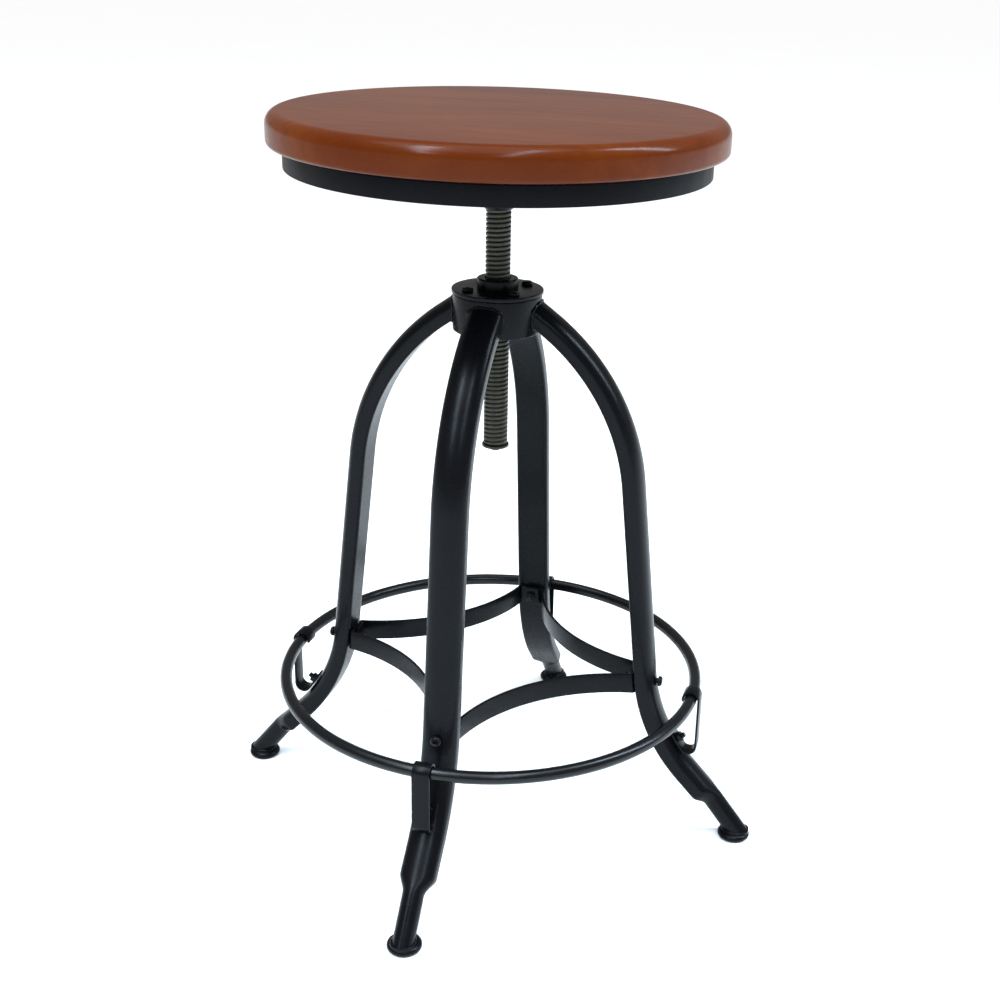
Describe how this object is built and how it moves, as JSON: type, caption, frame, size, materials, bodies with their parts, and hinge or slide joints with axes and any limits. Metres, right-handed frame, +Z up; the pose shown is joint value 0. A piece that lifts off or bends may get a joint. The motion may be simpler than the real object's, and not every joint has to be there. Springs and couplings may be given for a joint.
{
  "type": "adjustable swivel stool",
  "caption": "Adjustable swivel stool: a round wooden seat on a threaded rod that screws up and down in a hub on four bent steel legs, with a foot ring and bowed braces.",
  "frame": {"origin": "on the floor under the threaded rod's axis", "axes": "+Z up along the rod; the legs stand on the X and Y axes, the front leg on -Y"},
  "size_m": [0.4792, 0.4792, 0.612],
  "materials": {
    "stained_wood": "orange-brown stain under glossy lacquer",
    "black_powder_coat": "semi-gloss black powder coat",
    "black_fasteners": "black oxide",
    "oiled_steel": "dark oily steel"
  },
  "bodies": {
    "frame": {"hub_body": "black_powder_coat", "hub_plate": "black_powder_coat", "hub_nut": "black_powder_coat", "hub_screw_1": "black_fasteners", "hub_screw_2": "black_fasteners", "hub_screw_3": "black_fasteners", "hub_screw_4": "black_fasteners", "foot_ring": "black_powder_coat", "leg_right": "black_powder_coat", "leg_back": "black_powder_coat", "leg_left": "black_powder_coat", "leg_front": "black_powder_coat", "foot_right": "black_powder_coat", "foot_back": "black_powder_coat", "foot_left": "black_powder_coat", "foot_front": "black_powder_coat", "brace_right": "black_powder_coat", "brace_back": "black_powder_coat", "brace_left": "black_powder_coat", "brace_front": "black_powder_coat", "brace_bolt_right": "black_fasteners", "brace_bolt_back": "black_fasteners", "brace_bolt_left": "black_fasteners", "brace_bolt_front": "black_fasteners", "brace_nut_right": "black_fasteners", "brace_nut_back": "black_fasteners", "brace_nut_left": "black_fasteners", "brace_nut_front": "black_fasteners", "ring_bracket_right": "black_powder_coat", "ring_bracket_back": "black_powder_coat", "ring_bracket_left": "black_powder_coat", "ring_bracket_front": "black_powder_coat", "bracket_stud_right": "black_fasteners", "bracket_stud_back": "black_fasteners", "bracket_stud_left": "black_fasteners", "bracket_stud_front": "black_fasteners", "bracket_nut_right": "black_fasteners", "bracket_nut_back": "black_fasteners", "bracket_nut_left": "black_fasteners", "bracket_nut_front": "black_fasteners"},
    "stop_washer": {"stop_washer": "oiled_steel"},
    "seat": {"wood_seat": "stained_wood", "seat_pan": "black_powder_coat", "seat_flange": "black_powder_coat", "seat_screw_1": "black_fasteners", "seat_screw_2": "black_fasteners", "seat_screw_3": "black_fasteners", "seat_screw_4": "black_fasteners", "screw_rod": "oiled_steel", "stop_screw": "oiled_steel"}
  },
  "joints": [
    {"name": "seat_height", "type": "slide", "parent": "frame", "child": "stop_washer", "axis": [0, 0, 1], "range_m": [-0.05365, 0.09805]},
    {"name": "seat_turn", "type": "hinge", "parent": "stop_washer", "child": "seat", "pos_m": [0, 0, 0.48], "axis": [0, 0, 1], "range_deg": [-5221, 9541]}
  ],
  "couplings": [
    {"joint": "seat_turn", "follows": "seat_height", "rad_per_m": 1698.2}
  ]
}
